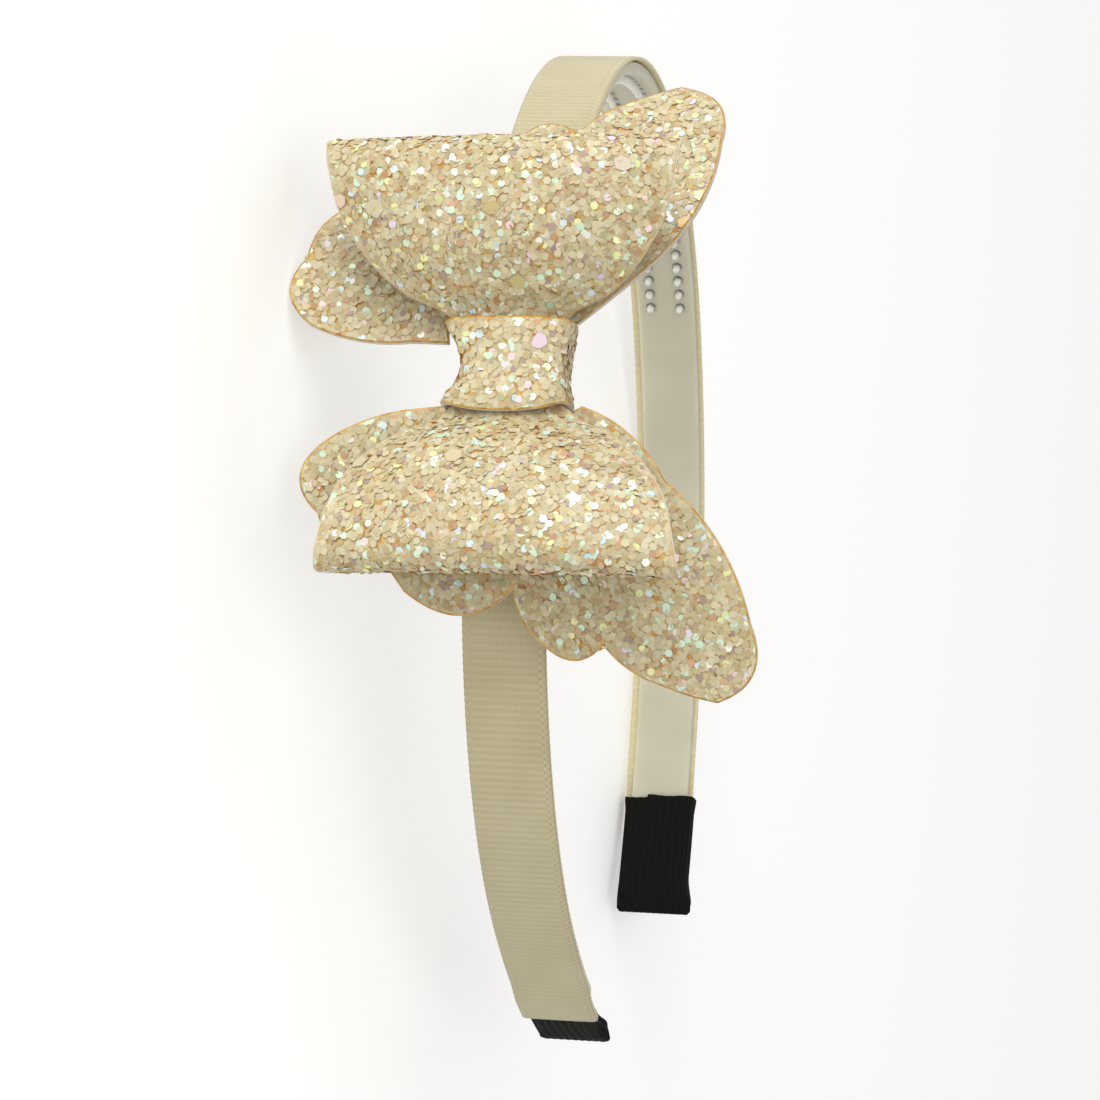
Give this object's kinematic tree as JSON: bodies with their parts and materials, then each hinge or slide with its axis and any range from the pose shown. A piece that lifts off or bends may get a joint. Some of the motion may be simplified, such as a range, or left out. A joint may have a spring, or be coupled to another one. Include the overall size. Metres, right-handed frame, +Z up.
{
  "type": "glitter bow headband",
  "caption": "Toothed plastic hair band covered with a grosgrain ribbon, with black tip sleeves and a layered glitter bow on one side.",
  "frame": {"origin": "middle of the bounding box's base, on the surface that the band lies on", "axes": "+Z up from the surface. The arch's top points to -X and its open mouth to +X, the bow's leg is on the -Y side and the plain leg on the +Y side."},
  "size_m": [0.1314, 0.1376, 0.0575],
  "materials": {
    "ivory_plastic": "moulded, slightly translucent",
    "grosgrain": "fine cross ribs with a woven edge",
    "black_sleeve": "lengthwise ribs, dull",
    "glitter_sheet": "chunky cream and amber glitter with an iridescent fleck"
  },
  "bodies": {
    "root": {"plastic_band": "ivory_plastic", "grosgrain_ribbon": "grosgrain", "bow_leg_sleeve": "black_sleeve", "plain_leg_sleeve": "black_sleeve", "bow_wings": "glitter_sheet", "bow_loops": "glitter_sheet", "bow_knot": "glitter_sheet"}
  },
  "joints": []
}
